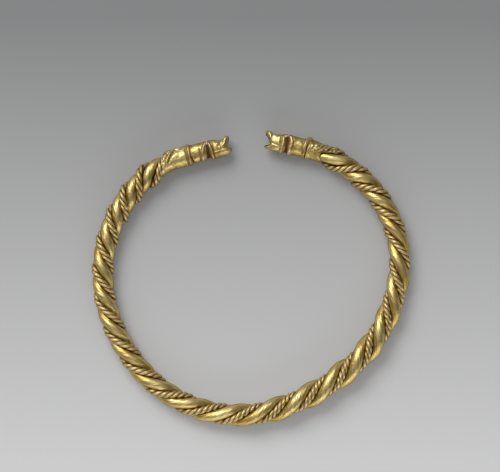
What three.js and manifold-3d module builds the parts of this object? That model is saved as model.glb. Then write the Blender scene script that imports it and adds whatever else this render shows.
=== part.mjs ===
// An open gold arm ring: two thick rods twisted round each other, a twisted wire in each groove between
// them, and an animal's head with collars and a sleeve on each end.
import * as THREE from 'three';
import { mergeVertices } from 'three/addons/utils/BufferGeometryUtils.js';
import Module from 'manifold-3d';

const wasm = await Module();
wasm.setup();

// Sizes are in millimetres and angles in degrees. The hoop lies flat with its gap towards +Y.
// Angles on the hoop are counted counter-clockwise from +X, and run on past 360 on the right side.

// The hoop's centreline is a little out of round: its radius every 20 degrees, from the gap round by
// the left, the bottom and the right, back to the gap.
const FIRST_RADIUS_ANGLE = 90;
const RADIUS_STEP = 20;
const HOOP_RADII = [
  30.4, 31.4, 33.3, 34.3, 34.8, 34.7, 34.3, 34.2, 33.8, 33.0,
  31.9, 31.9, 33.1, 34.5, 35.8, 35.6, 34.2, 32.6, 31.7,
];

// The hoop's centre in the part's frame, so that the origin is under the middle of the whole ring.
const HOOP_CENTRE_X = -0.28;
const HOOP_CENTRE_Y = 0.75;

// The twist: half turns at the hoop's bottom, counted from the left head, and how they grow along the hoop.
const TWIST_AT_BOTTOM = 11.26;
const TWIST_RATE = 11.53;
const TWIST_SKEW = -1.15;
const TWIST_TIGHTENING = 3.7;
const BOTTOM_ANGLE = 270;

// Next to each head the twist is a little slower: the half turns by which it differs, and where it starts
// and stops to differ.
const LEFT_EASE = { halfTurns: 0.18, from: 137.1, to: 129 };
const RIGHT_EASE = { halfTurns: -0.45, from: 409.8, to: 422.4 };
const FIRST_HALF_TURN = -0.4;
const LAST_HALF_TURN = 21.9;
const ROD_STEPS_PER_HALF_TURN = 5;
const PATH_STEP = 0.5;

// The rods. At the lower right the twist is loose: there they are a little thicker and stand apart, but
// elsewhere they touch. Inside the sleeves they are drawn thinner.
const ROD_RADIUS = 1.25;
const ROD_END_RADIUS = 0.96;
const ROD_TAPER_ANGLE = 20;
const ROD_SIDES = 8;
const LOOSE_ANGLE = 307;
const LOOSE_REACH = 75;
const LOOSE_SWELL = 0.11;
const LOOSE_SPREAD = 0.27;

// The worn flat spots under the rods and wires, on which the ring rests.
const WEAR_DEPTH = 0.1;
const GROUND_SIZE = 100;
const GROUND_DEPTH = 5;

// The twisted wires. Their plies are fused into one tube that is thick in the middle of each stroke and
// thin between two strokes. A stroke slants: it moves on along the hoop by some degrees per mm sideways.
const WIRE_RADIUS = 0.74;
const WIRE_WAIST = 0.74;
const WIRE_END_SHARE = 0.7;
const WIRE_STROKES = 114;
const WIRE_SLANT = 1.5;
const WIRE_SIDES = 5;
const WIRE_CLEARANCE = 0.02;

// The heads are shaped in a straight frame of their own and then bent along the hoop. In it, back is the
// distance from the mouth towards the sleeve, out is outward from the hoop's centre, and up is +Z.
const LEFT_TIP_ANGLE = 98.6;
const RIGHT_TIP_ANGLE = 443.85;
const HEAD_BEND_RADIUS = 32;
const HEAD_SIDES = 12;

// The head without its collars. Each row is a station: back, outer edge, inner edge, half width in Z.
const SNOUT_STATIONS = [
  [0.0, 2.0, -1.6, 0.9],
  [0.6, 2.5, -1.95, 1.5],
  [1.3, 2.1, -2.1, 1.75],
  [2.3, 1.8, -2.25, 1.9],
  [3.4, 1.9, -2.35, 2.05],
];
const NECK_STATION = [8.3, 1.95, -2.5, 2.1];
const SLEEVE_STATION = [12.2, 2.25, -2.4, 2.3];
const RIM_HALF_HEIGHT = 2.35;

// The two collars on each head. A collar is a pair of ridges round the head with a recess between them,
// close together on the outer edge and wider apart on the inner edge.
const RIDGE_HALF_WIDTH = 0.35;
const RIDGE_HEIGHT = 0.3;
const RECESS_DEPTH = 0.12;
const COLLAR_OUTER = 2.25;
const COLLAR_INNER = -2.4;
const COLLAR_HALF_WIDTH = 2.05;
const LEFT_COLLARS = [
  { frontOuter: 5.0, frontInner: 4.6, backOuter: 5.5, backInner: 6.9 },
  { frontOuter: 9.6, frontInner: 9.45, backOuter: 10.1, backInner: 10.8 },
];
const RIGHT_COLLARS = [
  { frontOuter: 4.45, frontInner: 4.3, backOuter: 5.7, backInner: 6.3 },
  { frontOuter: 9.2, frontInner: 9.6, backOuter: 9.95, backInner: 10.6 },
];

// The open mouth, seen from the side: the corner of the mouth, the upper lip and the lower lip.
const MOUTH_OUTLINE = [
  [1.15, 0.1],
  [0.42, 2.3],
  [-1.0, 3.5],
  [-1.0, -1.2],
  [-0.1, -1.15],
];
const MOUTH_WIDTH = 8;

// The curled wire ends that lie on the sleeves: their size, and where they lie behind the mouth and out
// from the middle. Each lies on both faces.
const CURL_LENGTH = 0.75;
const CURL_THICKNESS = 0.42;
const CURL_SINK = 0.1;
const LEFT_CURLS = [[13.2, 1.6], [15.2, 1.5]];
const RIGHT_CURLS = [[12.1, 1.2], [14.0, 1.8]];

// The sleeves' ends, where the rods go in: the rim's place and slant, and the socket inside it.
const LEFT_RIM = { back: 16.8, slant: -0.3 };
const RIGHT_RIM = { back: 14.4, slant: 0.5 };
const SOCKET_RADIUS = 2.12;
const SOCKET_GAP = 1.0;
const SOCKET_OVERRUN = 4;

const ROD_GOLD = { color: 0xc9a657, roughness: 0.34, metalness: 1 };
const WIRE_GOLD = { color: 0xc09a48, roughness: 0.38, metalness: 1 };
const HEAD_GOLD = { color: 0xc6a352, roughness: 0.36, metalness: 1 };

function radians(degrees) {
  return THREE.MathUtils.degToRad(degrees);
}

function hoopRadius(angle) {
  const place = (angle - FIRST_RADIUS_ANGLE) / RADIUS_STEP;
  const last = HOOP_RADII.length - 1;
  const index = Math.min(Math.max(Math.floor(place), 0), last - 1);
  const t = place - index;
  const [before, start, end, after] = [-1, 0, 1, 2].map(
    (shift) => HOOP_RADII[Math.min(Math.max(index + shift, 0), last)],
  );
  const slope = (end - before) / 2;
  const nextSlope = (after - start) / 2;
  return start * (2 * t ** 3 - 3 * t ** 2 + 1) + slope * (t ** 3 - 2 * t ** 2 + t)
    + end * (3 * t ** 2 - 2 * t ** 3) + nextSlope * (t ** 3 - t ** 2);
}

function hoopPoint(angle) {
  const radius = hoopRadius(angle);
  return new THREE.Vector2(Math.cos(radians(angle)) * radius, Math.sin(radians(angle)) * radius);
}

// How loose the twist is: 1 at the lower right, 0 away from it.
function looseness(angle) {
  const share = Math.min(Math.abs(angle - LOOSE_ANGLE) / LOOSE_REACH, 1);
  return Math.cos(radians(90 * share)) ** 2;
}

// The rods' radius and the distance of their middles from the centreline, without the taper at their ends.
function fullRodRadius(angle) {
  return ROD_RADIUS + LOOSE_SWELL * looseness(angle);
}

function fullRodReach(angle) {
  return fullRodRadius(angle) + LOOSE_SPREAD * looseness(angle);
}

// The centreline's height makes the ring's underside level.
function hoopHeight(angle) {
  return fullRodReach(angle) + fullRodRadius(angle) - WEAR_DEPTH;
}

// A point beside the hoop's centreline, out from the centre of the hoop and up from its plane.
function placeOnHoop(angle, out, up) {
  const point = hoopPoint(angle);
  const along = hoopPoint(angle + 0.5).sub(hoopPoint(angle - 0.5)).normalize();
  return new THREE.Vector3(
    HOOP_CENTRE_X + point.x + along.y * out,
    HOOP_CENTRE_Y + point.y - along.x * out,
    hoopHeight(angle) + up,
  );
}

function easing(angle, { halfTurns, from, to }) {
  return halfTurns * THREE.MathUtils.smoothstep((angle - from) / (to - from), 0, 1);
}

// Half turns of the twist up to an angle on the hoop, and the angle at which a count is reached.
function halfTurnsAt(angle) {
  const share = (angle - BOTTOM_ANGLE) / 180;
  const even = TWIST_AT_BOTTOM + TWIST_RATE * share + TWIST_SKEW * share ** 2 + TWIST_TIGHTENING * share ** 3;
  return even + easing(angle, LEFT_EASE) + easing(angle, RIGHT_EASE);
}

function angleAt(halfTurns) {
  let low = LEFT_TIP_ANGLE;
  let high = RIGHT_TIP_ANGLE;
  for (let i = 0; i < 50; i += 1) {
    const middle = (low + high) / 2;
    if (halfTurnsAt(middle) < halfTurns) {
      low = middle;
    } else {
      high = middle;
    }
  }
  return (low + high) / 2;
}

const FIRST_ANGLE = angleAt(FIRST_HALF_TURN);
const LAST_ANGLE = angleAt(LAST_HALF_TURN);

// How far the twist goes on for each radian that it turns.
function twistLength(angle) {
  const share = (angle - BOTTOM_ANGLE) / 180;
  const halfTurnsPerShare = TWIST_RATE + 2 * TWIST_SKEW * share + 3 * TWIST_TIGHTENING * share ** 2;
  return hoopRadius(angle) / halfTurnsPerShare;
}

// How full the strands are: 0 at their ends in the sleeves, 1 past the taper.
function fullness(angle) {
  const distance = Math.min(angle - FIRST_ANGLE, LAST_ANGLE - angle);
  return THREE.MathUtils.smoothstep(distance, 0, ROD_TAPER_ANGLE);
}

function rodRadius(angle) {
  return THREE.MathUtils.lerp(ROD_END_RADIUS, fullRodRadius(angle), fullness(angle));
}

function rodReach(angle) {
  return THREE.MathUtils.lerp(ROD_END_RADIUS, fullRodReach(angle), fullness(angle));
}

function wireRadius(angle) {
  return WIRE_RADIUS * THREE.MathUtils.lerp(WIRE_END_SHARE, 1, fullness(angle));
}

// The distance of a wire's middle from the centreline: it lies in the groove and just touches both rods.
function wireReach(angle) {
  const reach = rodReach(angle);
  const touching = rodRadius(angle) + wireRadius(angle) + WIRE_CLEARANCE;
  return Math.sqrt((touching ** 2 - reach ** 2) / (1 - (reach / twistLength(angle)) ** 2));
}

function closed(geometry) {
  geometry.deleteAttribute('normal');
  geometry.deleteAttribute('uv');
  return mergeVertices(geometry, 1e-5);
}

function toSolid(geometry) {
  const merged = closed(geometry);
  return new wasm.Manifold(new wasm.Mesh({
    numProp: 3,
    vertProperties: new Float32Array(merged.attributes.position.array),
    triVerts: new Uint32Array(merged.index.array),
  }));
}

function toGeometry(solid) {
  const mesh = solid.getMesh();
  const geometry = new THREE.BufferGeometry();
  geometry.setAttribute('position', new THREE.BufferAttribute(new Float32Array(mesh.vertProperties), 3));
  geometry.setIndex(Array.from(mesh.triVerts));
  geometry.computeVertexNormals();
  return geometry;
}

function moveVertices(geometry, move) {
  const position = geometry.attributes.position;
  for (let i = 0; i < position.count; i += 1) {
    const moved = move(position.getX(i), position.getY(i), position.getZ(i));
    position.setXYZ(i, moved.x, moved.y, moved.z);
  }
  return geometry;
}

// Which way a strand faces from the centreline: 0 is up, a quarter turn is out. The turn is 0 for the
// strand that faces up where the count of half turns is even.
function facing(angle, turn) {
  return Math.PI * (turn - halfTurnsAt(angle));
}

// A point on a strand's path, and a point beside the path: away from the centreline, and sideways.
function pathPoint(angle, turn, reachAt) {
  const way = facing(angle, turn);
  return placeOnHoop(angle, reachAt(angle) * Math.sin(way), reachAt(angle) * Math.cos(way));
}

function besidePath(angle, turn, reachAt, away, sideways) {
  const point = pathPoint(angle, turn, reachAt);
  const along = pathPoint(angle + PATH_STEP, turn, reachAt)
    .sub(pathPoint(angle - PATH_STEP, turn, reachAt))
    .normalize();
  const outward = point.clone().sub(placeOnHoop(angle, 0, 0));
  outward.addScaledVector(along, -outward.dot(along)).normalize();
  const aside = outward.clone().cross(along);
  return point.addScaledVector(outward, away).addScaledVector(aside, sideways);
}

// A round rod.
function rodSolid(turn) {
  const steps = Math.round((LAST_HALF_TURN - FIRST_HALF_TURN) * ROD_STEPS_PER_HALF_TURN);
  const tube = moveVertices(new THREE.CylinderGeometry(1, 1, 1, ROD_SIDES, steps), (x, y, z) => {
    const angle = angleAt(THREE.MathUtils.lerp(FIRST_HALF_TURN, LAST_HALF_TURN, y + 0.5));
    const radius = rodRadius(angle);
    return besidePath(angle, turn, rodReach, radius * x, radius * z);
  });
  return wornFlat(tube);
}

// A twisted wire, with two stations for each stroke: one across its middle and one between it and the next.
function wireSolid(turn) {
  const steps = 2 * WIRE_STROKES;
  const tube = moveVertices(new THREE.CylinderGeometry(1, 1, 1, WIRE_SIDES, steps), (x, y, z) => {
    const share = y + 0.5;
    const station = Math.round(share * steps);
    const angle = THREE.MathUtils.lerp(FIRST_ANGLE, LAST_ANGLE, share);
    const radius = wireRadius(angle) * (station % 2 === 0 ? WIRE_WAIST : 1);
    return besidePath(angle + WIRE_SLANT * radius * z, turn, wireReach, radius * x, radius * z);
  });
  return wornFlat(tube);
}

// Cuts off what would be below the ground that the ring lies on.
function wornFlat(tube) {
  const ground = new THREE.BoxGeometry(GROUND_SIZE, GROUND_SIZE, GROUND_DEPTH);
  ground.translate(0, 0, -GROUND_DEPTH / 2);
  return toGeometry(toSolid(tube).subtract(toSolid(ground)));
}

// A station that goes straight across the head.
function plainStation([back, outer, inner, halfWidth]) {
  return { outerBack: back, innerBack: back, outer, inner, halfWidth };
}

// A station that slants between the outer and the inner edge, raised above the collar's base.
function collarStation(outerBack, innerBack, raised) {
  return {
    outerBack,
    innerBack,
    outer: COLLAR_OUTER + raised,
    inner: COLLAR_INNER - raised,
    halfWidth: COLLAR_HALF_WIDTH + raised,
  };
}

function collarStations({ frontOuter, frontInner, backOuter, backInner }) {
  return [
    collarStation(frontOuter - RIDGE_HALF_WIDTH, frontInner - RIDGE_HALF_WIDTH, 0),
    collarStation(frontOuter, frontInner, RIDGE_HEIGHT),
    collarStation((frontOuter + backOuter) / 2, (frontInner + backInner) / 2, -RECESS_DEPTH),
    collarStation(backOuter, backInner, RIDGE_HEIGHT),
    collarStation(backOuter + RIDGE_HALF_WIDTH, backInner + RIDGE_HALF_WIDTH, 0),
  ];
}

// The head's body with its collars and sleeve, in the straight frame: x is out, y is back and z is up.
function headBody(collars, rim) {
  const stations = [
    ...SNOUT_STATIONS.map(plainStation),
    ...collarStations(collars[0]),
    plainStation(NECK_STATION),
    ...collarStations(collars[1]),
    plainStation(SLEEVE_STATION),
    {
      outerBack: rim.back + rim.slant * RIM_HALF_HEIGHT,
      innerBack: rim.back - rim.slant * RIM_HALF_HEIGHT,
      outer: RIM_HALF_HEIGHT,
      inner: -RIM_HALF_HEIGHT,
      halfWidth: RIM_HALF_HEIGHT,
    },
  ];
  const body = new THREE.CylinderGeometry(1, 1, 1, HEAD_SIDES, stations.length - 1);
  return moveVertices(body, (x, y, z) => {
    const station = stations[Math.round((y + 0.5) * (stations.length - 1))];
    const towardsOuter = (x + 1) / 2;
    return new THREE.Vector3(
      THREE.MathUtils.lerp(station.inner, station.outer, towardsOuter),
      THREE.MathUtils.lerp(station.innerBack, station.outerBack, towardsOuter),
      station.halfWidth * z,
    );
  });
}

// A curled wire end on one face of the sleeve; the face is 1 above and -1 below.
function curl([back, out], face) {
  const up = Math.sqrt(RIM_HALF_HEIGHT ** 2 - out ** 2) - CURL_SINK;
  const bead = new THREE.IcosahedronGeometry(1, 0);
  bead.scale(CURL_THICKNESS, CURL_LENGTH, CURL_THICKNESS);
  return bead.translate(out, back, face * up);
}

function mouth() {
  const outline = new THREE.Shape(MOUTH_OUTLINE.map(([back, out]) => new THREE.Vector2(out, back)));
  const notch = new THREE.ExtrudeGeometry(outline, { depth: MOUTH_WIDTH, bevelEnabled: false });
  return notch.translate(0, 0, -MOUTH_WIDTH / 2);
}

// The hole in the sleeve that the ends of the rods and wires go into.
function socket(strandEnd, rim) {
  const start = strandEnd - SOCKET_GAP;
  const end = rim.back + SOCKET_OVERRUN;
  const hole = new THREE.CylinderGeometry(SOCKET_RADIUS, SOCKET_RADIUS, end - start, HEAD_SIDES, 1);
  return hole.translate(0, (start + end) / 2, 0);
}

// A head, bent along the hoop behind its tip. The side is 1 on the left end and -1 on the right end.
function headSolid(tipAngle, endAngle, side, collars, curls, rim) {
  const strandEnd = radians(Math.abs(endAngle - tipAngle)) * HEAD_BEND_RADIUS;
  let solid = toSolid(headBody(collars, rim));
  for (const place of curls) {
    solid = solid.add(toSolid(curl(place, 1))).add(toSolid(curl(place, -1)));
  }
  solid = solid.subtract(toSolid(mouth())).subtract(toSolid(socket(strandEnd, rim)));
  return moveVertices(toGeometry(solid), (out, back, up) => {
    const angle = tipAngle + side * THREE.MathUtils.radToDeg(back / HEAD_BEND_RADIUS);
    return placeOnHoop(angle, out, side * up);
  });
}

const armRing = new THREE.Group();

function addPiece(name, geometry, look) {
  const mesh = new THREE.Mesh(geometry, new THREE.MeshStandardMaterial(look));
  mesh.name = name;
  armRing.add(mesh);
}

addPiece('rod_a', rodSolid(0.5), ROD_GOLD);
addPiece('rod_b', rodSolid(1.5), ROD_GOLD);
addPiece('twisted_wire_a', wireSolid(0), WIRE_GOLD);
addPiece('twisted_wire_b', wireSolid(1), WIRE_GOLD);
addPiece(
  'left_head',
  headSolid(LEFT_TIP_ANGLE, FIRST_ANGLE, 1, LEFT_COLLARS, LEFT_CURLS, LEFT_RIM),
  HEAD_GOLD,
);
addPiece(
  'right_head',
  headSolid(RIGHT_TIP_ANGLE, LAST_ANGLE, -1, RIGHT_COLLARS, RIGHT_CURLS, RIGHT_RIM),
  HEAD_GOLD,
);

export default armRing;
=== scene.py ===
import bpy
import numpy as np
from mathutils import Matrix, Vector


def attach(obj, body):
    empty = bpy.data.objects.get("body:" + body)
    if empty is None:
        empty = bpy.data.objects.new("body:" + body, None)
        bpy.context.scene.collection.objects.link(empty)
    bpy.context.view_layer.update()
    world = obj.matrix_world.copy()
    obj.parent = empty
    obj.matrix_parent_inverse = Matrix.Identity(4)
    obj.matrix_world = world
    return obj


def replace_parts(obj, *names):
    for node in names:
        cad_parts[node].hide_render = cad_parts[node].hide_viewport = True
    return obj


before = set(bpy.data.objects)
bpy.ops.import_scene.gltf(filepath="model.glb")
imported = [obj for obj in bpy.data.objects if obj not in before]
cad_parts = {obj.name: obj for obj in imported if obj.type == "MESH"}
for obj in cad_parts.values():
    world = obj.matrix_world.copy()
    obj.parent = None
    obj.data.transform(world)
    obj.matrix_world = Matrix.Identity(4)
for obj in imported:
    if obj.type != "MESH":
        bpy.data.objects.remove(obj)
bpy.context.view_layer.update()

# Sizes are in millimetres and angles in degrees; MM turns them into metres. The hoop lies flat with its gap
# towards +Y, and angles on it are counted counter-clockwise from +X.
MM = 0.001

# The hoop's centreline: its radius every 20 degrees, from the gap round by the left, the bottom and the
# right, back to the gap, and its centre.
FIRST_RADIUS_ANGLE = 90
RADIUS_STEP = 20
HOOP_RADII = np.array([
    30.4, 31.4, 33.3, 34.3, 34.8, 34.7, 34.3, 34.2, 33.8, 33.0,
    31.9, 31.9, 33.1, 34.5, 35.8, 35.6, 34.2, 32.6, 31.7,
])
HOOP_CENTRE = np.array([-0.28, 0.75])
TANGENT_STEP = 0.5

# The twist of the rods: half turns at the hoop's bottom, counted from the left head, and how they grow
# along the hoop.
TWIST_AT_BOTTOM = 11.26
TWIST_RATE = 11.53
TWIST_SKEW = -1.15
TWIST_TIGHTENING = 3.7
BOTTOM_ANGLE = 270
ANGLE_STEPS = 20000
FIRST_HALF_TURN = -0.4
LAST_HALF_TURN = 21.9

# Beside the heads the twist runs a little ahead or behind: by how many half turns, and between which
# angles that grows.
LEFT_EASE = (0.18, 137.1, 129)
RIGHT_EASE = (-0.45, 409.8, 422.4)

# The rods. At the lower right the twist is loose: there they are thicker and stand apart.
ROD_RADIUS = 1.25
ROD_END_RADIUS = 0.96
ROD_TAPER_ANGLE = 7
LOOSE_ANGLE = 307
LOOSE_REACH = 75
LOOSE_SWELL = 0.11
LOOSE_SPREAD = 0.27
WEAR_DEPTH = 0.1
ROD_RINGS_PER_HALF_TURN = 30
ROD_SIDES = 32

# How uneven a rod is, as a share of its radius: long swellings and fine streaks.
ROD_SWELLING = 0.014
ROD_STREAKS = 0.006

# The twisted wires, each of three plies.
WIRE_RADIUS = 0.76
WIRE_END_SHARE = 0.7
WIRE_CLEARANCE = 0.02
WIRE_STROKES = 114
WIRE_PLIES = 3
PLY_REACH = 0.42
PLY_RADIUS = 0.41
PLY_UNEVENNESS = 0.03
RINGS_PER_STROKE = 8
PLY_SIDES = 14

# Painted shade and painted highlight, from 0 to 1. The sides and the underside are darkened with painted
# shade:
# it starts where a surface's direction rises less than its side rise, and reaches the full painted side
# shade where it is level or falls.
SIDE_PAINTED_SHADE = 0.7
STRAND_SIDE_RISE = 0.55
HEAD_SIDE_RISE = 0.5
SUNK_WIRE_PAINTED_SHADE = 0.8
SOCKET_PAINTED_SHADE = 0.9
ROD_PAINTED_HIGHLIGHT = 0.3
WIRE_PAINTED_HIGHLIGHT = 0.65

# How far round to its inner side, from 0 to 1, a rod or a ply starts to darken with painted shade and is
# darkest, and how far down into the groove between the rods a ply does.
ROD_GROOVE = (0.36, 0.68)
PLY_GROOVE = (0.38, 0.66)
WIRE_GROOVE = (0.5, 0.9)

# Where the painted highlight starts and is whole, by the cosine of the angle from the strand's outermost
# line.
ROD_CREST = (0.5, 1)
PLY_CREST = (0.2, 0.8)

# The heads.
LEFT_TIP_ANGLE = 98.6
RIGHT_TIP_ANGLE = 443.85
HEAD_BEND_RADIUS = 32
HEAD_SIDES = 176
HEAD_ROW_STEP = 0.07
HEAD_UNEVENNESS = 0.035


def cubic(start, slope, end, next_slope, t):
    """A smooth line from start to end that has these slopes there."""
    return (start * (2 * t**3 - 3 * t**2 + 1) + slope * (t**3 - 2 * t**2 + t)
            + end * (3 * t**2 - 2 * t**3) + next_slope * (t**3 - t**2))


def smooth_line(values, place):
    """A smooth line through evenly spaced values."""
    last = len(values) - 1
    index = np.clip(np.floor(place), 0, last - 1).astype(int)
    t = place - index
    before, start, end, after = [values[np.clip(index + shift, 0, last)] for shift in (-1, 0, 1, 2)]
    return cubic(start, (end - before) / 2, end, (after - start) / 2, t)


def smoothstep(value, low, high):
    t = np.clip((value - low) / (high - low), 0, 1)
    return t * t * (3 - 2 * t)


def lerp(start, end, share):
    return start + (end - start) * share


def unit(vectors):
    return vectors / np.linalg.norm(vectors, axis=-1, keepdims=True)


def dot(first, second):
    return np.sum(first * second, axis=-1, keepdims=True)


def hoop_radius(angle):
    return smooth_line(HOOP_RADII, (angle - FIRST_RADIUS_ANGLE) / RADIUS_STEP)


def hoop_point(angle):
    radius = hoop_radius(angle)
    turn = np.radians(angle)
    return np.stack([np.cos(turn) * radius, np.sin(turn) * radius], axis=-1)


def looseness(angle):
    share = np.minimum(np.abs(angle - LOOSE_ANGLE) / LOOSE_REACH, 1)
    return np.cos(np.radians(90 * share)) ** 2


def full_rod_radius(angle):
    return ROD_RADIUS + LOOSE_SWELL * looseness(angle)


def full_rod_reach(angle):
    return full_rod_radius(angle) + LOOSE_SPREAD * looseness(angle)


def hoop_height(angle):
    return full_rod_reach(angle) + full_rod_radius(angle) - WEAR_DEPTH


def place_on_hoop(angle, out, up):
    """A point beside the hoop's centreline, out from its centre and up from its plane."""
    angle = np.asarray(angle, dtype=float)
    point = hoop_point(angle)
    along = unit(hoop_point(angle + TANGENT_STEP) - hoop_point(angle - TANGENT_STEP))
    x = HOOP_CENTRE[0] + point[..., 0] + along[..., 1] * out
    y = HOOP_CENTRE[1] + point[..., 1] - along[..., 0] * out
    return np.stack([x, y, hoop_height(angle) + up], axis=-1)


def easing(angle, ease):
    half_turns, start, end = ease
    return half_turns * smoothstep((angle - start) / (end - start), 0, 1)


def half_turns_at(angle):
    share = (angle - BOTTOM_ANGLE) / 180
    even = TWIST_AT_BOTTOM + TWIST_RATE * share + TWIST_SKEW * share**2 + TWIST_TIGHTENING * share**3
    return even + easing(angle, LEFT_EASE) + easing(angle, RIGHT_EASE)


def angle_at(half_turns):
    angles = np.linspace(LEFT_TIP_ANGLE, RIGHT_TIP_ANGLE, ANGLE_STEPS)
    return np.interp(half_turns, half_turns_at(angles), angles)


FIRST_ANGLE = float(angle_at(FIRST_HALF_TURN))
LAST_ANGLE = float(angle_at(LAST_HALF_TURN))


def twist_length(angle):
    share = (angle - BOTTOM_ANGLE) / 180
    rate = TWIST_RATE + 2 * TWIST_SKEW * share + 3 * TWIST_TIGHTENING * share**2
    return hoop_radius(angle) / rate


def fullness(angle):
    return smoothstep(np.minimum(angle - FIRST_ANGLE, LAST_ANGLE - angle), 0, ROD_TAPER_ANGLE)


def rod_radius(angle):
    return lerp(ROD_END_RADIUS, full_rod_radius(angle), fullness(angle))


def rod_reach(angle):
    return lerp(ROD_END_RADIUS, full_rod_reach(angle), fullness(angle))


def wire_share(angle):
    return lerp(WIRE_END_SHARE, 1, fullness(angle))


def wire_reach(angle):
    reach = rod_reach(angle)
    touching = rod_radius(angle) + WIRE_RADIUS * wire_share(angle) + WIRE_CLEARANCE
    return np.sqrt((touching**2 - reach**2) / (1 - (reach / twist_length(angle)) ** 2))


def strand_path(angle, turn, reach_at):
    way = np.pi * (turn - half_turns_at(angle))
    reach = reach_at(angle)
    return place_on_hoop(angle, reach * np.sin(way), reach * np.cos(way))


def directions(path, reference):
    """Along a path, away from a reference line and sideways, all square to each other."""
    along = unit(np.gradient(path, axis=0))
    away = path - reference
    away = unit(away - along * dot(away, along))
    return along, away, np.cross(away, along)


def tube(path, reference, radius, sides, unevenness):
    """Rings of points round a path, with flat ends. Returns the points, the faces and each point's
    place along the path and round it."""
    _, away, aside = directions(path, reference)
    turn = np.linspace(0, 2 * np.pi, sides, endpoint=False)
    length = np.concatenate([[0], np.cumsum(np.linalg.norm(np.diff(path, axis=0), axis=1))])
    size = np.reshape(radius, (-1, 1)) * (1 + unevenness(length[:, None], turn[None, :]))
    points = (path[:, None] + away[:, None] * (size * np.cos(turn))[..., None]
              + aside[:, None] * (size * np.sin(turn))[..., None])
    places = np.stack(np.broadcast_arrays(length[:, None], turn[None, :]), axis=-1)
    return points.reshape(-1, 3), closed_faces(len(path), sides), places.reshape(-1, 2)


def closed_faces(rows, sides):
    """The faces between rings of points, with one flat face on each end."""
    row = np.arange(rows - 1)[:, None] * sides
    here = np.arange(sides)[None, :]
    following = (here + 1) % sides
    between = np.stack([row + here, row + sides + here, row + sides + following, row + following], axis=-1)
    first_end = list(range(sides))
    last_end = list(range((rows - 1) * sides, rows * sides))[::-1]
    return [*between.reshape(-1, 4).tolist(), first_end, last_end]


def side_share(points, path, radius, sides):
    """0 where a tube faces up and 1 where it faces sideways or down."""
    rise = (points[:, 2].reshape(-1, sides) - path[:, 2:3]) / np.reshape(radius, (-1, 1))
    return smoothstep(-rise, -STRAND_SIDE_RISE, 0).ravel()


def facing_in(turn):
    """0 where a strand faces away from the line that it winds round, and 1 where it faces it."""
    return 0.5 - 0.5 * np.cos(turn)


def rounded_place(places):
    """Each point's length along its strand and its direction round it, without a seam."""
    length, turn = places.T
    return np.stack([length, np.cos(turn), np.sin(turn)], axis=-1)


def waves(seed, count, longest, shortest, turns):
    """A smooth, seeded unevenness over a length and a turn, about -1 to 1."""
    draw = np.random.default_rng(seed)
    lengths = draw.uniform(shortest, longest, count)
    phases = draw.uniform(0, 2 * np.pi, count)
    around = draw.integers(-turns, turns + 1, count)

    def value(length, turn):
        total = 0
        for wave, phase, times in zip(lengths, phases, around):
            total = total + np.sin(2 * np.pi * length / wave + times * turn + phase)
        return total / np.sqrt(count)

    return value


def add_mesh(name, points, faces, material, attributes):
    mesh = bpy.data.meshes.new(name)
    mesh.from_pydata((points * MM).tolist(), [], faces)
    for attribute_name, values in attributes.items():
        kind = "FLOAT_VECTOR" if values.ndim == 2 else "FLOAT"
        attribute = mesh.attributes.new(attribute_name, kind, "POINT")
        attribute.data.foreach_set("vector" if values.ndim == 2 else "value",
                                   values.astype(np.float32).ravel())
    mesh.materials.append(material)
    mesh.polygons.foreach_set("use_smooth", [True] * len(mesh.polygons))
    mesh.update()
    thing = bpy.data.objects.new(name, mesh)
    bpy.context.scene.collection.objects.link(thing)
    return thing


# Materials

def nodes_of(material):
    material.use_nodes = True
    tree = material.node_tree
    tree.nodes.clear()
    return tree


def add_node(tree, kind, settings=None, inputs=None):
    node = tree.nodes.new(kind)
    for key, value in (settings or {}).items():
        setattr(node, key, value)
    for key, value in (inputs or {}).items():
        if isinstance(value, bpy.types.NodeSocket):
            tree.links.new(value, node.inputs[key])
        else:
            node.inputs[key].default_value = value
    return node


# The scales of the patches and specks are for positions in metres, and that of the lines is for millimetres
# along a piece. The bump's depth is in metres.
PATCH_SCALE = 260.0
SPECK_SCALE = 1500.0
LINE_SCALE = 1.0
LINE_SHARE_OF_BUMP = 2.5
BUMP_DEPTH = 0.00010

# Gold that is brighter and duller than its tint, and where the mottling turns from one to the other.
BRIGHTER = 1.06
DULLER = (0.75, 0.64, 0.38)
DULLEST_AT = 0.86
BRIGHTEST_AT = 1.14

# How much smoother and rougher than its roughness the gold is in places, and what the painted shade and
# the deposits do to it.
SMOOTHER = 0.06
ROUGHER = 0.08
SHADE_AND_DEPOSIT_ROUGHNESS = 0.35
SHADE_AND_DEPOSIT_METAL = 0.95

# The pale gold of the painted highlight, the dark brown of the painted shade, the red of the deposits and
# the tint of the metal's edges.
PAINTED_HIGHLIGHT_GOLD = (1.0, 0.85, 0.48, 1.0)
PAINTED_SHADE_BROWN = (0.12, 0.048, 0.001, 1.0)
DEPOSIT_RED = (0.19, 0.07, 0.03, 1.0)
EDGE_TINT = (0.30, 0.18, 0.06, 1.0)


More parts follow.
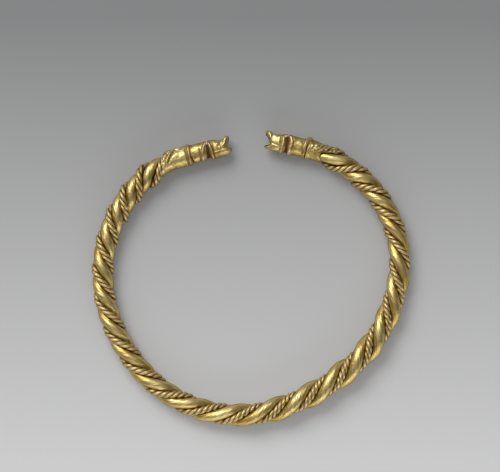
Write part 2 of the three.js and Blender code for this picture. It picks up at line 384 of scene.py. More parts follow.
def gold(name, tint, roughness, stretch, unevenness):
    """Old gold: a warm base that varies in patches, fine lines along the piece, crests paled as painted
    highlight, painted shade in dark brown, and red deposits. The lines are drawn out by the stretch along
    the piece and round it."""
    material = bpy.data.materials.new(name)
    tree = nodes_of(material)
    place = add_node(tree, "ShaderNodeAttribute", {"attribute_name": "place"})
    painted_shade = add_node(tree, "ShaderNodeAttribute", {"attribute_name": "painted_shade"})
    deposit = add_node(tree, "ShaderNodeAttribute", {"attribute_name": "deposit"})
    painted_highlight = add_node(tree, "ShaderNodeAttribute", {"attribute_name": "painted_highlight"})
    solid = add_node(tree, "ShaderNodeTexCoord")

    patches = add_node(tree, "ShaderNodeTexNoise", None,
                       {"Vector": solid.outputs["Object"], "Scale": PATCH_SCALE, "Detail": 3.0,
                        "Roughness": 0.6})
    fine = add_node(tree, "ShaderNodeTexNoise", None,
                    {"Vector": solid.outputs["Object"], "Scale": SPECK_SCALE, "Detail": 4.0,
                     "Roughness": 0.65})
    squeezed = add_node(tree, "ShaderNodeMapping", None,
                        {"Vector": place.outputs["Vector"], "Scale": stretch})
    lines = add_node(tree, "ShaderNodeTexNoise", None,
                     {"Vector": squeezed.outputs["Vector"], "Scale": LINE_SCALE, "Detail": 3.0})

    bright = (*(min(1.0, channel * BRIGHTER) for channel in tint), 1.0)
    dull = (*(channel * share for channel, share in zip(tint, DULLER)), 1.0)
    mottling = add_node(tree, "ShaderNodeMath", {"operation": "ADD"},
                        {0: patches.outputs["Fac"], 1: lines.outputs["Fac"]})
    shade = add_node(tree, "ShaderNodeMapRange", None,
                     {"Value": mottling.outputs[0], "From Min": DULLEST_AT, "From Max": BRIGHTEST_AT})
    base = add_node(tree, "ShaderNodeMix", {"data_type": "RGBA"},
                    {0: shade.outputs["Result"], 6: dull, 7: bright})
    # Painted highlight: pale gold is mixed in along the crests.
    highlighted = add_node(tree, "ShaderNodeMix", {"data_type": "RGBA"},
                    {0: painted_highlight.outputs["Fac"], 6: base.outputs[2], 7: PAINTED_HIGHLIGHT_GOLD})
    # Painted shade: dark brown is mixed in where the darkening attribute is high.
    dark = add_node(tree, "ShaderNodeMix", {"data_type": "RGBA"},
                    {0: painted_shade.outputs["Fac"], 6: highlighted.outputs[2], 7: PAINTED_SHADE_BROWN})
    stained = add_node(tree, "ShaderNodeMix", {"data_type": "RGBA"},
                       {0: deposit.outputs["Fac"], 6: dark.outputs[2], 7: DEPOSIT_RED})

    dullness = add_node(tree, "ShaderNodeMath", {"operation": "MAXIMUM"},
                        {0: painted_shade.outputs["Fac"], 1: deposit.outputs["Fac"]})
    metal = add_node(tree, "ShaderNodeMapRange", None,
                     {"Value": dullness.outputs[0], "To Min": 1.0, "To Max": SHADE_AND_DEPOSIT_METAL})
    worn = add_node(tree, "ShaderNodeMapRange", None,
                    {"Value": fine.outputs["Fac"], "From Min": 0.3, "From Max": 0.7,
                     "To Min": roughness - SMOOTHER, "To Max": roughness + ROUGHER})
    rough = add_node(tree, "ShaderNodeMath", {"operation": "MULTIPLY_ADD", "use_clamp": True},
                     {0: dullness.outputs[0], 1: SHADE_AND_DEPOSIT_ROUGHNESS, 2: worn.outputs["Result"]})

    relief = add_node(tree, "ShaderNodeMath", {"operation": "MULTIPLY_ADD"},
                      {0: lines.outputs["Fac"], 1: LINE_SHARE_OF_BUMP, 2: fine.outputs["Fac"]})
    bump = add_node(tree, "ShaderNodeBump", None,
                    {"Height": relief.outputs[0], "Strength": unevenness, "Distance": BUMP_DEPTH})
    shader = add_node(tree, "ShaderNodeBsdfPrincipled", None,
                      {"Base Color": stained.outputs[2], "Metallic": metal.outputs["Result"],
                       "Roughness": rough.outputs[0], "Normal": bump.outputs["Normal"],
                       "Specular Tint": EDGE_TINT})
    output = add_node(tree, "ShaderNodeOutputMaterial")
    tree.links.new(shader.outputs["BSDF"], output.inputs["Surface"])
    return material


ROD_GOLD = gold("rod_gold", (0.96, 0.76, 0.31), 0.37, (0.2, 3.2, 3.2), 0.7)
WIRE_GOLD = gold("wire_gold", (0.90, 0.67, 0.26), 0.43, (0.6, 4.0, 1.0), 0.7)
HEAD_GOLD = gold("head_gold", (0.97, 0.79, 0.36), 0.40, (1.2, 2.0, 1.0), 0.38)


# Rods and wires

def add_rod(letter, turn, seed):
    rings = round((LAST_HALF_TURN - FIRST_HALF_TURN) * ROD_RINGS_PER_HALF_TURN) + 1
    angle = angle_at(np.linspace(FIRST_HALF_TURN, LAST_HALF_TURN, rings))
    path = strand_path(angle, turn, rod_reach)
    radius = rod_radius(angle)
    swelling = waves(seed, count=8, longest=30, shortest=9, turns=2)
    streaks = waves(seed + 5, count=12, longest=90, shortest=20, turns=9)
    points, faces, places = tube(path, place_on_hoop(angle, 0, 0), radius, ROD_SIDES,
                                 lambda length, around: (ROD_SWELLING * swelling(length, around)
                                                         + ROD_STREAKS * streaks(length, around)))
    points[:, 2] = np.maximum(points[:, 2], 0)
    # Painted shade on the rod's inner side, its sides and its underside, and painted highlight along its
    # outermost line.
    painted_groove_shade = smoothstep(facing_in(places[:, 1]), *ROD_GROOVE)
    painted_side_shade = SIDE_PAINTED_SHADE * side_share(points, path, radius, ROD_SIDES)
    painted_highlight = ROD_PAINTED_HIGHLIGHT * smoothstep(np.cos(places[:, 1]), *ROD_CREST)
    rod = add_mesh(f"rod_{letter}_round", points, faces, ROD_GOLD,
                   {"place": rounded_place(places), "painted_shade": np.maximum(painted_groove_shade, painted_side_shade),
                    "painted_highlight": painted_highlight})
    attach(rod, "root")
    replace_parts(rod, f"rod_{letter}")


add_rod("a", 0.5, 11)
add_rod("b", 1.5, 12)


def add_wire(letter, turn, seed):
    rings = WIRE_STROKES * RINGS_PER_STROKE + 1
    share = np.linspace(0, 1, rings)
    angle = lerp(FIRST_ANGLE, LAST_ANGLE, share)
    path = strand_path(angle, turn, wire_reach)
    _, away, aside = directions(path, place_on_hoop(angle, 0, 0))
    size = wire_share(angle)
    radius = PLY_RADIUS * size
    for ply in range(WIRE_PLIES):
        way = 2 * np.pi * (WIRE_STROKES * share - 0.5 - ply) / WIRE_PLIES
        ply_path = (path + away * (PLY_REACH * size * np.cos(way))[:, None]
                    + aside * (PLY_REACH * size * np.sin(way))[:, None])
        uneven = waves(seed + ply, count=8, longest=7, shortest=1.5, turns=1)
        points, faces, places = tube(ply_path, path, radius, PLY_SIDES,
                                     lambda length, around: PLY_UNEVENNESS * uneven(length, around))
        points[:, 2] = np.maximum(points[:, 2], 0)
        # Painted shade darkens the side of the ply that faces the other plies, the side of the wire that
        # lies in the groove, and the wire's sides and underside.
        painted_inner_shade = smoothstep(facing_in(places[:, 1]), *PLY_GROOVE)
        painted_sunk_shade = SUNK_WIRE_PAINTED_SHADE * smoothstep(np.repeat(facing_in(way), PLY_SIDES), *WIRE_GROOVE)
        painted_side_shade = SIDE_PAINTED_SHADE * side_share(points, ply_path, radius, PLY_SIDES)
        painted_shade = np.maximum.reduce([painted_inner_shade, painted_sunk_shade, painted_side_shade])
        # Painted highlight along the ply's outer side.
        painted_highlight = WIRE_PAINTED_HIGHLIGHT * smoothstep(np.cos(places[:, 1]), *PLY_CREST)
        wire = add_mesh(f"wire_{letter}_ply_{ply + 1}", points, faces, WIRE_GOLD,
                        {"place": rounded_place(places), "painted_shade": painted_shade, "painted_highlight": painted_highlight})
        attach(wire, "root")
        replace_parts(wire, f"twisted_wire_{letter}")


add_wire("a", 0, 31)
add_wire("b", 1, 41)


# Heads

# A ridge's feet, darkened with painted shade, lie this many half widths from its crest, and reach this
# many to both sides.
FOOT_PLACE = 1.55
FOOT_REACH = 0.42

# How fast the painted shade and the painted highlight grow with the depth of a groove or the height of a
# ridge, in parts per mm. A ridge that is lower than LOW_RIDGE has no painted shade at its feet, and a crest
# with painted highlight loses most of its painted shade.
GROOVE_PAINTED_SHADE = 2.6
FOOT_PAINTED_SHADE = 3
MOST_FOOT_PAINTED_SHADE = 0.75
LOW_RIDGE = 0.12
CREST_PAINTED_HIGHLIGHT = 2.8
HIGHLIGHT_OVER_SHADE = 0.85
DEPOSIT_EDGE = 4


def curve(knots, at):
    """A smooth line through knots, without overshoot."""
    knots = np.array(knots, dtype=float)
    x, y = knots[:, 0], knots[:, 1]
    slopes = np.diff(y) / np.diff(x)
    tangents = np.zeros_like(y)
    same = slopes[1:] * slopes[:-1] > 0
    tangents[1:-1][same] = 2 / (1 / slopes[1:][same] + 1 / slopes[:-1][same])
    at = np.clip(at, x[0], x[-1])
    index = np.clip(np.searchsorted(x, at, side="right") - 1, 0, len(x) - 2)
    width = x[index + 1] - x[index]
    t = (at - x[index]) / width
    return cubic(y[index], tangents[index] * width, y[index + 1], tangents[index + 1] * width, t)


def distance(back, out, line, widths):
    """How many half widths a point is from a line of points, seen from the side. The half width may change
    from the line's start to its end."""
    points = np.array(line, dtype=float)
    steps = np.diff(points, axis=0)
    lengths = np.hypot(steps[:, 0], steps[:, 1])
    ends = np.concatenate([[0], np.cumsum(lengths)]) / max(lengths.sum(), 1e-9)
    start_width, end_width = widths if isinstance(widths, tuple) else (widths, widths)
    nearest = np.full(back.shape, np.inf)
    for point, step, length, first, last in zip(points, steps, lengths, ends, ends[1:]):
        share = ((back - point[0]) * step[0] + (out - point[1]) * step[1]) / max(length**2, 1e-9)
        share = np.clip(share, 0, 1)
        gap = np.hypot(back - point[0] - share * step[0], out - point[1] - share * step[1])
        width = lerp(start_width, end_width, lerp(first, last, share))
        nearest = np.minimum(nearest, gap / width)
    return nearest


def bell(widths_away, power=2):
    """1 on a line, falling to 0 beside it."""
    return np.exp(-widths_away**power)


def foot(widths_away):
    """1 along both feet of a ridge, 0 elsewhere."""
    return np.exp(-(((widths_away - FOOT_PLACE) / FOOT_REACH) ** 2))


def spot(back, out):
    """One place as a very short line."""
    return [(back, out), (back + 0.01, out)]


def ring(back, out, radius):
    turn = np.linspace(0, 2 * np.pi, 13)
    return list(zip(back + radius * np.cos(turn), out + radius * np.sin(turn)))


# The beads in the recess of the right head.
BEADS = [(5.15, 0.95), (5.5, 0.7), (5.2, 0.4), (5.55, 0.1), (5.25, -0.2), (5.55, -0.5), (5.2, -0.8),
         (5.5, -1.1)]

# Each head, in a straight frame of its own: back is the distance from the mouth towards the sleeve, and out
# is outward from the hoop's centre. Outer, inner and half are the two edges and the half thickness at a
# distance back. Rim and end are how far back the mouth's rim and the sleeve's end are, from the inner side
# at -1 to the outer side at 1. A mark is the line of a ridge or groove, its height and its half width, and
# a deposit is its line, strength and half width. Two half widths are those of the line's start and end.
LEFT = {
    "outer": [(-0.3, 2.4), (0.3, 2.42), (0.5, 2.58), (0.85, 2.62), (1.35, 2.25), (1.5, 2.05), (2.0, 1.88),
              (2.5, 1.8), (3.3, 1.86), (4.3, 2.05), (5.0, 2.12), (6.4, 2.02), (8.7, 1.92), (9.6, 2.05),
              (11.0, 2.2), (12.2, 2.0), (13.2, 2.3), (15.0, 2.42), (16.5, 2.3), (19, 2.3)],
    "inner": [(-0.3, -1.6), (0.36, -1.68), (1.3, -1.95), (2.4, -2.12), (3.6, -2.3), (4.6, -2.4),
              (5.6, -2.35), (7.2, -2.25), (8.6, -2.45), (9.6, -2.5), (10.9, -2.55), (12.3, -2.48),
              (14.2, -2.25), (16.2, -2.15), (19, -2.15)],
    "half": [(-0.3, 0.75), (0.1, 1.1), (0.6, 1.4), (1.3, 1.62), (2.4, 1.85), (3.4, 2.05), (5.0, 2.1),
             (8.3, 2.1), (10.0, 2.2), (12.2, 2.25), (15.0, 2.3), (19, 2.25)],
    "rim": [(-1.0, 0.45), (-0.94, 0.4), (-0.8, 0.1), (-0.58, -0.2), (-0.42, -0.2), (-0.25, 0.3),
            (-0.08, 1.0), (0.04, 0.8), (0.32, 0.5), (0.66, 0.36), (0.9, 0.32), (1.0, 0.35)],
    "end": [(-1.0, 18.3), (-0.5, 17.5), (0.0, 16.6), (0.45, 15.8), (0.8, 15.4), (1.0, 15.3)],
    "marks": [
        # The face: the snout's ridge, the mouth's corner, the lower jaw, a hollow and the eye.
        ([(1.0, 2.3), (1.45, 1.6), (1.45, 0.95), (1.9, 0.5), (2.7, 0.1)], 0.2, (0.3, 0.22)),
        ([(1.0, 0.02), (1.9, -0.25), (3.2, -0.6), (4.0, -0.75)], -0.14, (0.16, 0.14)),
        ([(0.3, -0.75), (1.2, -0.85), (2.4, -1.25)], 0.1, (0.3, 0.4)),
        ([(2.1, 1.4), (2.5, 0.9)], -0.06, 0.35),
        (spot(3.15, 0.95), 0.2, 0.32),
        # The arched collar: its two legs and their meeting point, a short ridge, the recess and two grooves.
        ([(7.3, -2.6), (7.1, -1.6), (6.85, -0.3), (6.5, 0.75), (6.0, 1.3), (5.5, 1.5)], 0.4, (0.34, 0.24)),
        ([(5.5, 1.5), (5.1, 1.15), (4.85, 0.2), (4.65, -0.8), (4.5, -2.6)], 0.4, (0.24, 0.3)),
        (spot(5.55, 1.45), 0.24, 0.3),
        ([(6.5, -0.6), (6.65, -2.6)], 0.16, (0.2, 0.36)),
        ([(5.56, 0.95), (5.62, -0.4), (5.66, -2.7)], -0.36, (0.2, 0.55)),
        ([(7.45, 0.4), (7.75, -2.3)], -0.12, 0.2),
        ([(4.1, 1.3), (4.15, -2.3)], -0.12, 0.22),
        # The second collar with its ridges and grooves, and the swelling of the neck.
        ([(10.0, 2.2), (10.1, 0.3), (10.3, -1.6), (10.4, -2.6)], 0.3, (0.28, 0.2)),
        ([(10.6, 1.6), (10.75, -1.0), (10.9, -2.5)], -0.2, 0.15),
        ([(11.15, 1.0), (11.2, -1.0), (11.3, -2.5)], 0.1, 0.2),
        ([(9.72, -0.9), (9.55, -2.6)], -0.3, (0.12, 0.2)),
        ([(8.0, 1.6), (7.9, 0.0)], 0.07, 0.5),
        # The sleeve: a curled ridge, shorter ridges and grooves beside it, a small ring and a fold.
        ([(12.0, 1.7), (12.9, 2.1), (13.8, 1.75), (14.5, 1.2), (15.1, 0.65), (15.7, 0.0)],
         0.36, (0.16, 0.24)),
        ([(13.2, 1.45), (13.9, 1.0), (14.6, 0.35), (15.1, -0.15)], -0.16, 0.2),
        ([(14.0, 2.3), (14.6, 2.35)], 0.22, 0.3),
        ([(15.0, 1.75), (15.5, 1.4), (16.0, 0.8)], 0.26, 0.2),
        ([(14.6, 1.75), (15.3, 1.0)], -0.16, 0.12),
        (ring(14.3, -1.25, 0.3), 0.1, 0.1),
        ([(16.2, -0.2), (17.0, -1.2), (17.6, -2.2)], 0.12, 0.3),
    ],
    "deposits": [
        ([(5.55, 0.85), (5.6, -0.4)], 0.5, (0.25, 0.5)),
        ([(5.58, -0.3), (5.66, -2.7)], 1.0, (0.35, 0.62)),
        ([(9.72, -0.7), (9.55, -2.6)], 0.9, (0.1, 0.2)),
        ([(8.5, -0.7), (9.1, -1.3)], 0.45, 0.4),
        ([(9.3, 2.1), (9.5, 1.8)], 0.5, 0.25),
        ([(14.1, -1.9), (14.6, -2.1)], 0.5, 0.25),
        ([(3.0, -1.3), (3.7, -1.6)], 0.3, 0.5),
        ([(12.4, 0.7), (13.0, 0.3)], 0.3, 0.35),
        ([(4.1, 0.6), (4.1, -0.4)], 0.4, 0.15),
    ],
}
RIGHT = {
    "outer": [(-0.3, 2.15), (0.3, 2.25), (0.55, 2.45), (1.0, 2.42), (1.5, 2.18), (2.1, 1.88), (3.0, 1.8),
              (4.3, 2.0), (5.0, 2.15), (6.4, 2.05), (8.3, 1.92), (9.3, 2.1), (10.4, 2.3), (11.6, 2.32),
              (13.9, 2.12), (15.2, 2.15), (17, 2.1), (18, 2.0)],
    "inner": [(-0.3, -1.6), (0.1, -1.68), (1.0, -1.95), (1.9, -2.15), (3.3, -2.3), (4.1, -2.42),
              (5.2, -2.42), (8.3, -2.35), (9.6, -2.4), (10.4, -2.48), (12.0, -2.22), (13.7, -2.2),
              (17, -2.2)],
    "half": [(-0.3, 0.75), (0.1, 1.1), (0.6, 1.4), (1.3, 1.62), (2.4, 1.85), (3.4, 2.05), (5.0, 2.1),
             (8.3, 2.1), (10.0, 2.2), (12.2, 2.22), (14.0, 2.2), (17, 2.15)],
    "rim": [(-1.0, 0.5), (-0.88, 0.1), (-0.76, 0.15), (-0.62, 0.6), (-0.45, 1.1), (-0.25, 1.42),
            (-0.11, 1.35), (0.07, 1.1), (0.26, 0.75), (0.67, 0.36), (0.9, 0.36), (1.0, 0.5)],
    "end": [(-1.0, 14.3), (-0.75, 13.7), (-0.43, 13.2), (0.0, 13.35), (0.3, 14.4), (0.5, 15.3), (0.65, 16.3),
            (0.8, 16.7), (1.0, 16.8)],
    "marks": [
        # The face: the snout's ridge, the mouth's corner, the lower jaw, the eye, the brow, the cheek and a
        # groove behind it.
        ([(0.95, 2.2), (1.3, 1.6), (1.4, 1.1)], 0.16, (0.3, 0.25)),
        ([(1.35, -0.05), (2.0, -0.45), (3.1, -0.8)], -0.1, (0.18, 0.14)),
        ([(0.45, -1.05), (1.1, -0.8), (1.8, -0.75)], 0.14, (0.22, 0.3)),
        (spot(2.8, 0.85), 0.09, 0.34),
        ([(2.3, 1.4), (2.9, 1.5), (3.4, 1.35)], 0.06, 0.25),
        ([(3.45, 1.2), (3.35, 0.3), (3.45, -0.7)], 0.14, 0.28),
        ([(3.9, 1.3), (3.9, -0.2), (3.7, -1.8)], -0.14, 0.16),
        # The arched collar: its two legs, the recess with its beads, and the ridges and groove beside it.
        ([(3.9, -2.4), (4.1, -1.75), (4.35, -0.9), (4.5, 0.2), (4.35, 1.1), (4.6, 1.5), (5.35, 1.6)],
         0.27, (0.32, 0.26)),
        ([(5.35, 1.6), (5.95, 1.45), (6.35, 0.7), (6.35, -0.35), (6.0, -1.3), (5.95, -2.5)],
         0.4, (0.3, 0.36)),
        ([(5.3, 1.05), (5.4, 0.2), (5.35, -1.4), (5.15, -2.6)], -0.26, (0.36, 0.45)),
        *[(spot(back, out), 0.15, 0.14) for back, out in BEADS],
        ([(4.3, -1.7), (4.3, -2.4)], 0.2, 0.28),
        ([(6.5, -1.4), (6.6, -2.4)], 0.22, 0.36),
        ([(5.9, 2.2), (6.6, 1.6), (6.95, 0.9)], 0.14, 0.13),
        ([(6.2, 2.0), (6.75, 0.9), (6.8, -0.6)], -0.14, 0.12),
        # The second collar with its ridges and grooves, and the swelling of the neck.
        ([(10.4, 2.35), (10.0, 2.2), (9.7, 1.8), (9.5, 0.9), (9.42, -0.2), (9.75, -0.9)],
         0.5, (0.36, 0.24)),
        ([(9.65, -1.1), (9.75, -2.5)], 0.14, 0.2),
        ([(10.15, 1.5), (9.9, 0.4), (9.95, -0.9), (10.05, -2.4)], -0.3, (0.16, 0.1)),
        ([(10.6, 1.5), (10.35, -0.2), (10.35, -2.4)], 0.2, 0.18),
        ([(8.9, 1.5), (8.95, 0.0), (9.1, -1.6)], -0.14, 0.2),
        ([(8.1, 1.3), (8.1, 0.9)], 0.07, 0.4),
        # The sleeve: pellets, a small hook, and slanted strokes with dark gaps between them.
        (spot(11.1, 0.9), 0.32, 0.38),
        (spot(11.95, 1.2), 0.32, 0.38),
        (spot(11.8, 0.45), 0.28, 0.33),
        ([(10.9, 0.35), (11.15, 0.0), (11.6, -0.1)], 0.2, 0.2),
        ([(10.9, 0.1), (10.95, -0.6)], 0.14, 0.18),
        ([(12.2, 0.5), (12.8, 1.05), (13.1, 1.9)], 0.3, 0.24),
        ([(13.2, 0.7), (13.8, 1.35), (14.1, 2.1)], 0.32, 0.26),
        ([(14.2, 1.1), (14.7, 1.7), (15.0, 2.3)], 0.32, 0.26),
        ([(15.2, 1.5), (15.8, 1.9), (16.0, 2.3)], 0.3, 0.24),
        ([(15.9, 1.75), (16.5, 2.05)], 0.26, 0.2),
        ([(14.75, 1.2), (15.1, 1.7), (15.3, 2.2)], -0.24, 0.14),
        ([(15.6, 1.5), (16.0, 1.85), (16.3, 2.3)], -0.2, 0.12),
        ([(12.7, 0.45), (13.4, 1.25), (13.6, 2.0)], -0.22, 0.14),
        ([(13.9, 0.8), (14.3, 1.5), (14.5, 2.1)], -0.26, 0.16),
    ],
    "deposits": [
        ([(5.3, 1.1), (5.4, 0.3), (5.35, -1.4), (5.15, -2.6)], 0.9, (0.45, 0.5)),
        ([(9.95, 0.9), (9.95, -0.8)], 0.7, 0.12),
        ([(6.95, -0.3), (7.3, -0.8)], 0.4, 0.35),
        ([(11.4, -1.5), (12.6, -1.3)], 0.35, 0.4),
        ([(12.9, -0.2), (14.5, 0.9)], 0.7, 0.22),
        ([(14.4, 1.2), (15.3, 1.5)], 0.8, 0.22),
    ],
}

# The sleeve's wall, its wavy edge and the socket in it.
SLEEVE_WALL = 0.28
SLEEVE_HALF_HEIGHT = 2.35
SLEEVE_EDGE_WAVE = 0.08
SLEEVE_EDGE_WAVES = 5
SLEEVE_EDGE_START = 0.6
SLEEVE_EDGE_ROUNDING = 0.12
SOCKET_DEPTH = 5.0
SOCKET_SHARE = 1 - SLEEVE_WALL / SLEEVE_HALF_HEIGHT

# The mouth and its lips.
MOUTH_HALF_HEIGHT = 2.2
MOUTH_DEPTH = 1.1
MOUTH_END = 2.1
LIP = 0.5
LIP_SHARE = 1 - LIP / MOUTH_HALF_HEIGHT
LIP_ROUNDING = 0.3
LIP_BULGE = 0.16
LIP_REACH = 1.0
LIP_THINNEST = 0.55

# The rows follow the slanted rim at first, are even from here on, and follow the slanted end from a share of
# the head's length on. At the bottom of the mouth and of the socket they shrink to the smallest share.
EVEN_ROWS_FROM = 3.2
SLANTED_FROM_SHARE = 0.7
MOUTH_ROWS = 12
LIP_ROWS = 8
EDGE_ROWS = 7
SOCKET_ROWS = 24
BOTTOM_ROWS = 8
SMALLEST_SHARE = 0.02

# The section is boxier at the face than at the sleeve, where 2 is an ellipse, and changes between two
# places. The marks fade out beside the rim.
FACE_BOXINESS = 2.5
SLEEVE_BOXINESS = 2.1
FACE_END = 3
SLEEVE_START = 12
RIM_FADE = (0.02, 0.5)


def head_rows(shape):
    """The head's rows, from the bottom of the mouth over the lips, along the outside and round the sleeve's
    edge into its socket: each row's stretch and its share of that stretch."""
    outside_rows = round(curve(shape["end"], np.zeros(1))[0] / HEAD_ROW_STEP)
    stretches = [
        ("mouth", np.linspace(SMALLEST_SHARE, 1, MOUTH_ROWS)),
        ("lip", np.linspace(0, 1, LIP_ROWS)[1:]),
        ("outside", np.linspace(0, 1, outside_rows + 1)[1:]),
        ("edge", np.linspace(0, 1, EDGE_ROWS)[1:]),
        ("socket", np.linspace(0, 1, SOCKET_ROWS)[1:]),
        ("bottom", np.linspace(1, SMALLEST_SHARE, BOTTOM_ROWS)[1:]),
    ]
    return [(stretch, share) for stretch, shares in stretches for share in shares]


def head_row(stretch, share, rim, end, length):
    """How far back one row is round the head, and how far it is shrunk towards the head's middle line."""
    swing = np.pi * share
    if stretch == "mouth":
        back = rim + LIP_ROUNDING + MOUTH_DEPTH * (1 - share) ** 0.7
        return lerp(back, MOUTH_END, (1 - share) ** 2), LIP_SHARE * share**0.5
    if stretch == "lip":
        back = rim + LIP_ROUNDING * (1 + np.cos(swing)) / 2 - LIP_BULGE * np.sin(swing)
        return back, lerp(LIP_SHARE, 1, (1 - np.cos(swing)) / 2)
    if stretch == "outside":
        even = share * length
        back = lerp(rim + share * (length - rim), even, smoothstep(even, 0, EVEN_ROWS_FROM))
        return back + (end - length) * smoothstep(share, SLANTED_FROM_SHARE, 1), 1
    if stretch == "edge":
        back = end + SLEEVE_EDGE_ROUNDING * np.sin(swing)
        return back, lerp(1, SOCKET_SHARE, (1 - np.cos(swing)) / 2)
    if stretch == "socket":
        return end - SOCKET_DEPTH * share, SOCKET_SHARE
    return end - SOCKET_DEPTH, SOCKET_SHARE * share


def head_surface(shape):
    """A head without its marks: how far back, out and up its points are, which of them are outside, and
    their directions round it."""
    turn = np.linspace(0, 2 * np.pi, HEAD_SIDES, endpoint=False)
    rim = curve(shape["rim"], np.cos(turn))
    end_wave = SLEEVE_EDGE_WAVE * np.sin(SLEEVE_EDGE_WAVES * turn + SLEEVE_EDGE_START)
    end = curve(shape["end"], np.cos(turn)) + end_wave
    length = float(end.mean())
    backs, shrinks, outsides = [], [], []
    for stretch, share in head_rows(shape):
        back, shrink = head_row(stretch, share, rim, end, length)
        backs.append(back)
        shrinks.append(shrink)
        outsides.append(stretch in ("outside", "edge"))
    back = np.array(backs)
    shrink = np.array(shrinks)[:, None]
    outside = np.array(outsides, dtype=float)[:, None]
    outer = curve(shape["outer"], back)
    inner = curve(shape["inner"], back)
    half = curve(shape["half"], back)
    # Both lips are rounded off towards the front.
    behind_lip = np.clip((back - rim) / LIP_REACH, 0, 1)
    half = half * lerp(LIP_THINNEST, 1, np.sqrt(1 - (1 - behind_lip) ** 2))
    roundness = 2 / lerp(FACE_BOXINESS, SLEEVE_BOXINESS, smoothstep(back, FACE_END, SLEEVE_START))
    across = np.sign(np.cos(turn)) * np.abs(np.cos(turn)) ** roundness
    upward = np.sign(np.sin(turn)) * np.abs(np.sin(turn)) ** roundness
    out = (outer + inner) / 2 + (outer - inner) / 2 * across * shrink
    up = half * upward * shrink
    return back, out, up, outside, turn


def outward_normals(grid):
    """The directions square to a head's surface, out of the metal."""
    along_rows = np.gradient(grid, axis=0)
    around = np.roll(grid, -1, axis=1) - np.roll(grid, 1, axis=1)
    normal = np.cross(around, along_rows)
    normal = normal / np.maximum(np.linalg.norm(normal, axis=-1, keepdims=True), 1e-9)
    out = grid[..., 1]
    middle = (out.max(axis=1, keepdims=True) + out.min(axis=1, keepdims=True)) / 2
    from_middle = np.stack([np.zeros_like(out), out - middle, grid[..., 2]], axis=-1)
    return normal * np.sign(dot(normal, from_middle) + 1e-12)


def add_head(name, shape, tip_angle, side, seed):
    """A head at an angle of the hoop. Its sleeve points to growing angles for side 1, to falling for -1."""
    back, out, up, outside, turn = head_surface(shape)
    grid = np.stack([back, out, up], axis=-1)
    normal = outward_normals(grid)
    relief = np.zeros_like(back)
    painted_shade = np.zeros_like(back)
    painted_highlight = np.zeros_like(back)
    # Grooves and the feet of high ridges get painted shade, crests get painted highlight, and the highlight
    # takes away most of the shade.
    for line, height, width in shape["marks"]:
        away = distance(back, out, line, width)
        relief += height * bell(away)
        if height < 0:
            painted_shade = np.maximum(painted_shade, min(1, -height * GROOVE_PAINTED_SHADE) * bell(away))
        else:
            painted_foot_shade = np.clip(FOOT_PAINTED_SHADE * (height - LOW_RIDGE), 0, MOST_FOOT_PAINTED_SHADE)
            painted_shade = np.maximum(painted_shade, painted_foot_shade * foot(away))
            painted_highlight = np.maximum(painted_highlight, min(1, height * CREST_PAINTED_HIGHLIGHT) * bell(away))
    painted_shade *= 1 - HIGHLIGHT_OVER_SHADE * painted_highlight
    uneven = waves(seed, count=14, longest=6, shortest=1.3, turns=3)
    relief += HEAD_UNEVENNESS * uneven(back, turn)
    fade = outside * smoothstep(back - curve(shape["rim"], np.cos(turn)), *RIM_FADE)
    grid = grid + normal * (relief * fade)[..., None]
    deposit = np.zeros_like(back)
    for line, strength, width in shape["deposits"]:
        stain = strength * bell(distance(back, out, line, width), DEPOSIT_EDGE)
        deposit = np.maximum(deposit, stain * outside)
    # The socket, and the head's sides and underside, get painted shade as well.
    painted_shade = np.where(outside > 0, painted_shade * fade, SOCKET_PAINTED_SHADE)
    painted_shade = np.maximum(painted_shade, SIDE_PAINTED_SHADE * smoothstep(-side * normal[..., 2], -HEAD_SIDE_RISE, 0))
    angle = tip_angle + side * np.degrees(grid[..., 0] / HEAD_BEND_RADIUS)
    points = place_on_hoop(angle, grid[..., 1], side * grid[..., 2])
    points[..., 2] = np.maximum(points[..., 2], 0)
    faces = closed_faces(len(points), HEAD_SIDES)
    head = add_mesh(name, points.reshape(-1, 3), faces, HEAD_GOLD,
                    {"place": grid.reshape(-1, 3), "painted_shade": painted_shade.ravel(),
                     "deposit": deposit.ravel(), "painted_highlight": painted_highlight.ravel()})
    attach(head, "root")
    return head


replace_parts(add_head("left_head_carved", LEFT, LEFT_TIP_ANGLE, 1, 51), "left_head")
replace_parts(add_head("right_head_carved", RIGHT, RIGHT_TIP_ANGLE, -1, 61), "right_head")


# Floor, lights and camera

# The floor's colour is a little darker towards the top of the picture, as painted shade, and the floor
# glows faintly in that colour, as painted light.
FLOOR_REACH = 2
FLOOR_NEAR_Y = -0.045
FLOOR_FAR_Y = 0.062
FLOOR_NEAR_COLOUR = (0.825, 0.84, 0.87, 1)
FLOOR_FAR_COLOUR = (0.302, 0.31, 0.325, 1)
FLOOR_PAINTED_GLOW = 0.12

# The sky is brightest in one direction.
SKY_DIRECTION = (-0.3, 0.45, 0.84)
SKY_POWER = 2.0
SKY_LIGHT = 0.40
SKY_DARK = 0.07
SKY_COLOUR = (1.0, 0.975, 0.93, 1)

# The camera looks straight down, from CAMERA_DISTANCE metres above the middle of a view this wide.
PICTURE_WIDTH = 118.3
VIEW_MIDDLE = (-0.28, 9.98, 2.7)
CAMERA_DISTANCE = 0.6
SENSOR = 36.0


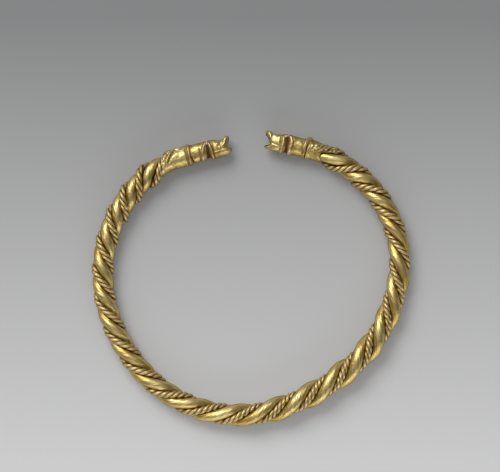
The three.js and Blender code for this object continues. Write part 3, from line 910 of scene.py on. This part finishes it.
def add_floor():
    reach = FLOOR_REACH
    mesh = bpy.data.meshes.new("floor")
    mesh.from_pydata([(-reach, -reach, 0), (reach, -reach, 0), (reach, reach, 0), (-reach, reach, 0)], [],
                     [(0, 1, 2, 3)])
    floor = bpy.data.objects.new("floor", mesh)
    bpy.context.scene.collection.objects.link(floor)
    material = bpy.data.materials.new("floor_paper")
    tree = nodes_of(material)
    place = add_node(tree, "ShaderNodeTexCoord")
    split = add_node(tree, "ShaderNodeSeparateXYZ", None, {0: place.outputs["Object"]})
    ramp = add_node(tree, "ShaderNodeMapRange", None,
                    {"Value": split.outputs["Y"], "From Min": FLOOR_NEAR_Y, "From Max": FLOOR_FAR_Y})
    colour = add_node(tree, "ShaderNodeMix", {"data_type": "RGBA"},
                      {0: ramp.outputs["Result"], 6: FLOOR_NEAR_COLOUR, 7: FLOOR_FAR_COLOUR})
    # Painted shade and painted light: the colour darkens towards the top, and the floor glows with it.
    shader = add_node(tree, "ShaderNodeBsdfPrincipled", None,
                      {"Base Color": colour.outputs[2], "Roughness": 0.9,
                       "Emission Color": colour.outputs[2], "Emission Strength": FLOOR_PAINTED_GLOW})
    output = add_node(tree, "ShaderNodeOutputMaterial")
    tree.links.new(shader.outputs["BSDF"], output.inputs["Surface"])
    mesh.materials.append(material)


def add_light(name, place, size, power, colour):
    """A soft box that shines on the origin."""
    light = bpy.data.lights.new(name, "AREA")
    light.shape = "RECTANGLE"
    light.size, light.size_y = size
    light.energy = power
    light.color = colour
    lamp = bpy.data.objects.new(name, light)
    lamp.location = place
    lamp.rotation_euler = (-Vector(place)).to_track_quat("-Z", "Y").to_euler()
    bpy.context.scene.collection.objects.link(lamp)


def add_sky():
    world = bpy.data.worlds.new("studio")
    bpy.context.scene.world = world
    tree = nodes_of(world)
    place = add_node(tree, "ShaderNodeTexCoord")
    toward = add_node(tree, "ShaderNodeVectorMath", {"operation": "DOT_PRODUCT"},
                      {0: place.outputs["Generated"], 1: SKY_DIRECTION})
    above = add_node(tree, "ShaderNodeMath", {"operation": "MAXIMUM"}, {0: toward.outputs["Value"], 1: 0.0})
    soft = add_node(tree, "ShaderNodeMath", {"operation": "POWER"}, {0: above.outputs[0], 1: SKY_POWER})
    strength = add_node(tree, "ShaderNodeMath", {"operation": "MULTIPLY_ADD"},
                        {0: soft.outputs[0], 1: SKY_LIGHT, 2: SKY_DARK})
    background = add_node(tree, "ShaderNodeBackground", None,
                          {"Color": SKY_COLOUR, "Strength": strength.outputs[0]})
    output = add_node(tree, "ShaderNodeOutputWorld")
    tree.links.new(background.outputs["Background"], output.inputs["Surface"])


def add_camera():
    data = bpy.data.cameras.new("camera")
    data.sensor_width = SENSOR
    data.sensor_fit = "HORIZONTAL"
    data.lens = SENSOR * CAMERA_DISTANCE / (PICTURE_WIDTH * MM)
    camera = bpy.data.objects.new("camera", data)
    x, y, z = VIEW_MIDDLE
    camera.location = (x * MM, y * MM, z * MM + CAMERA_DISTANCE)
    bpy.context.scene.collection.objects.link(camera)
    bpy.context.scene.camera = camera


add_floor()
add_light("key", (-0.45, 0.75, 0.85), (0.8, 0.6), 6.5, (1.0, 0.99, 0.96))
add_light("bounce", (0.1, -0.75, 0.3), (1.2, 0.4), 2.2, (1.0, 0.98, 0.95))
add_sky()
add_camera()
bpy.context.scene.view_settings.view_transform = "Standard"
